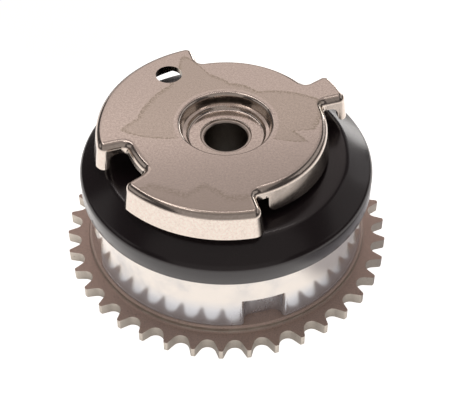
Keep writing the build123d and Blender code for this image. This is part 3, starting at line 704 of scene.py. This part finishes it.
def finish_of(node):
    """The finish of a solid. Seal bars are polymer and their springs steel; the rest is
    hardened."""
    if "seal_spring" in node:
        return spring_steel
    if "seal" in node:
        return seal_polymer
    return own_finish.get(node, hardened_steel)


for node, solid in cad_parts.items():
    solid.data.materials.clear()
    solid.data.materials.append(finish_of(node))
print("finishes on", len(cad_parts), "solids")


# %% [markdown]
# ## Pieces with broken edges
# A real part has no perfectly sharp edge, and light catches on each broken one. The pieces could
# be modelled anew, but the frame's solids have the right shape already. So a copy of the solid is
# merged, its flat triangles are joined into whole faces, and a narrow bevel goes round its sharp
# edges.

# %% Copying and edge breaking
def break_edges(name, node, width):
    """Copies a solid of the frame and breaks its sharp edges by a width in mm."""
    clear_selection()
    piece = bpy.data.objects.new(name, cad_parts[node].data.copy())
    bpy.context.scene.collection.objects.link(piece)
    piece.select_set(True)
    bpy.context.view_layer.objects.active = piece
    bpy.ops.object.mode_set(mode="EDIT")
    tidy_skin()
    bpy.ops.mesh.dissolve_limited(angle_limit=math.radians(0.6))
    bpy.ops.object.mode_set(mode="OBJECT")
    apply_modifier(piece, "broken edges", "BEVEL", width=width * MM, segments=2,
                   limit_method="ANGLE", angle_limit=math.radians(32), use_clamp_overlap=True,
                   harden_normals=False)
    bpy.ops.object.shade_smooth_by_angle(angle=math.radians(34))
    apply_modifier(piece, "flat faces stay flat", "WEIGHTED_NORMAL", mode="FACE_AREA",
                   weight=100, keep_sharp=True)
    return piece


# %% Sprocket and stator
# the edges of the casting are broken more than those of the pressed sprocket
sprocket_piece = break_edges("dressed_sprocket", "sprocket", 0.12)
join_frame(sprocket_piece, "housing", "sintered_steel", "sprocket")
stator_piece = break_edges("dressed_stator", "stator_housing", 0.2)
join_frame(stator_piece, "housing", "cast_aluminium", "stator_housing")


# %% [markdown]
# ## The trigger wheel
# The wheel is stamped and drawn from one sheet, and drawn sheet is never quite square: its skirt
# leans outwards a little. The whole wheel could be scaled wider towards its bottom, but its
# outline has lobes and straight sides, and each must lean its own way. So every point of the
# skirt moves the way that the outline above it faces.

# %% Leaning a skirt
def lean_skirt(piece, bend_height, lean, shorten):
    """Leans the skirt of a sheet cup outwards below its bend. The height is in mm and the lean in
    degrees. Where the skirt is deep, it also ends higher, by the share that shorten leaves."""
    dish, deep = 22 * MM, 4 * MM
    mesh = bmesh.new()
    mesh.from_mesh(piece.data)
    bend = bend_height * MM
    outline = []
    for vertex in mesh.verts:
        above = [face for face in vertex.link_faces
                 if face.normal.z > 0.05 and face.calc_center_median().z > bend]
        if abs(vertex.co.z - bend) < 0.02 * MM and above:
            level = Vector((vertex.normal.x, vertex.normal.y, 0)).normalized()
            outline.append((vertex.co.xy.copy(), level))
    below = [v for v in mesh.verts if v.co.z < bend - 0.01 * MM and v.co.xy.length > dish]
    for vertex in below:
        # the three nearest points of the outline say which way is outwards
        close = sorted(((vertex.co.xy - spot).length, n) for n, (spot, _) in enumerate(outline))[:3]
        outwards = sum((outline[n][1] / (gap + 0.05 * MM) for gap, n in close),
                       Vector()).normalized()
        drop = bend - vertex.co.z
        if drop > deep:
            drop *= shorten
        vertex.co += outwards * drop * math.tan(math.radians(lean))
        vertex.co.z = bend - drop
    mesh.to_mesh(piece.data)
    mesh.free()
    print(piece.name, "leans at", len(below), "points, outline of", len(outline))


# %% Trigger wheel
wheel_piece = break_edges("dressed_trigger_wheel", "trigger_wheel", 0.12)
lean_skirt(wheel_piece, 46.4, 8.0, 0.9)
# under the sight hole the skirt hangs a little lower
sight_edge, lower_by = 42.76 * MM, 1.0 * MM
bpy.context.view_layer.objects.active = wheel_piece
bpy.ops.object.mode_set(mode="EDIT")
lowered = pick_points(lambda v: (abs(v.co.z - sight_edge) < 0.1 * MM
                                 and v.co.xy.length > 33 * MM and v.co.y > 15 * MM))
bpy.ops.transform.translate(value=(0, 0, -lower_by))
bpy.ops.object.mode_set(mode="OBJECT")
print(lowered, "points under the sight hole are lowered")
join_frame(wheel_piece, "rotor", "trigger_steel", "trigger_wheel")

# %% [markdown]
# ## The hub bush
# Only the rim of the bush's bore is seen, at the bottom of the dish. A loose ring would give that
# rim, but the whole bush is one turned piece, and its slot and collar should be there when the
# part is opened. So it is the frame's solid with its edges broken, as the sprocket is.

# %% Hub bush
bush_piece = break_edges("dressed_hub_bush", "hub_bush", 0.12)
join_frame(bush_piece, "rotor", "hardened_steel", "hub_bush")


# %% [markdown]
# ## The black cover
# It is a cup pressed from sheet, so it has one outline all the way round. It could be pushed up
# out of a disc. Lathing it is nearer to its smooth bends: draw the outer skin as a line, round
# its two bends, spin it, and give the skin a wall.

# %% Drawing a section
def draw_section(name, corners):
    """Draws a line of corners, each a radius and a height in mm, by extruding one vertex."""
    clear_selection()
    r, z = corners[0]
    bpy.ops.mesh.primitive_plane_add(size=MM, location=(r * MM, 0, z * MM))
    piece = bpy.context.object
    piece.name = name
    bpy.ops.object.mode_set(mode="EDIT")
    bpy.ops.mesh.merge(type="CENTER")
    for (r0, z0), (r1, z1) in zip(corners, corners[1:]):
        step = ((r1 - r0) * MM, 0, (z1 - z0) * MM)
        bpy.ops.mesh.extrude_region_move(TRANSFORM_OT_translate={"value": step})
    bpy.ops.object.mode_set(mode="OBJECT")
    bpy.ops.object.transform_apply(location=True, rotation=True, scale=True)
    bpy.ops.object.mode_set(mode="EDIT")
    return piece


# %% Rounding and spinning it
def round_corner(corner, radius, segments):
    """Rounds a corner of the section to a radius in mm."""
    spot = Vector((corner[0] * MM, 0, corner[1] * MM))
    pick_points(lambda vertex: (vertex.co - spot).length < 0.01 * MM)
    mesh = bmesh.from_edit_mesh(bpy.context.edit_object.data)
    bend = next(v for v in mesh.verts if v.select)
    arms = [(edge.other_vert(bend).co - bend.co).normalized() for edge in bend.link_edges]
    setback = radius * MM / math.tan(arms[0].angle(arms[1]) / 2)
    bpy.ops.mesh.bevel(offset_type="OFFSET", offset=setback, segments=segments,
                       affect="VERTICES")


def spin_section(steps):
    """Spins the section once round the centre line."""
    bpy.ops.mesh.select_mode(type="VERT")
    bpy.ops.mesh.select_all(action="SELECT")
    bpy.ops.mesh.spin(steps=steps, angle=math.tau, center=(0, 0, 0), axis=(0, 0, 1))
    tidy_skin()
    bpy.ops.object.mode_set(mode="OBJECT")


# %% Black cover
rim_bottom, shoulder = (43.905, 27.4), (43.905, 33.6)
cone_top, mouth = (36.005, 38.2), (12.2, 38.7)
sheet_thickness, edge_break = 1.15 * MM, 0.15 * MM
cover_piece = draw_section("spring_cover_sheet", [rim_bottom, shoulder, cone_top, mouth])
round_corner(shoulder, 2.2, segments=10)
round_corner(cone_top, 4.0, segments=8)
spin_section(steps=240)
apply_modifier(cover_piece, "sheet", "SOLIDIFY", thickness=sheet_thickness, offset=-1.0,
               use_even_offset=True)
apply_modifier(cover_piece, "broken edges", "BEVEL", width=edge_break, segments=2,
               limit_method="ANGLE", angle_limit=math.radians(40))
bpy.ops.object.shade_smooth_by_angle(angle=math.radians(40))
cover_piece.data.materials.append(black_coating)
join_frame(cover_piece, "housing", "black_coating", "spring_cover")
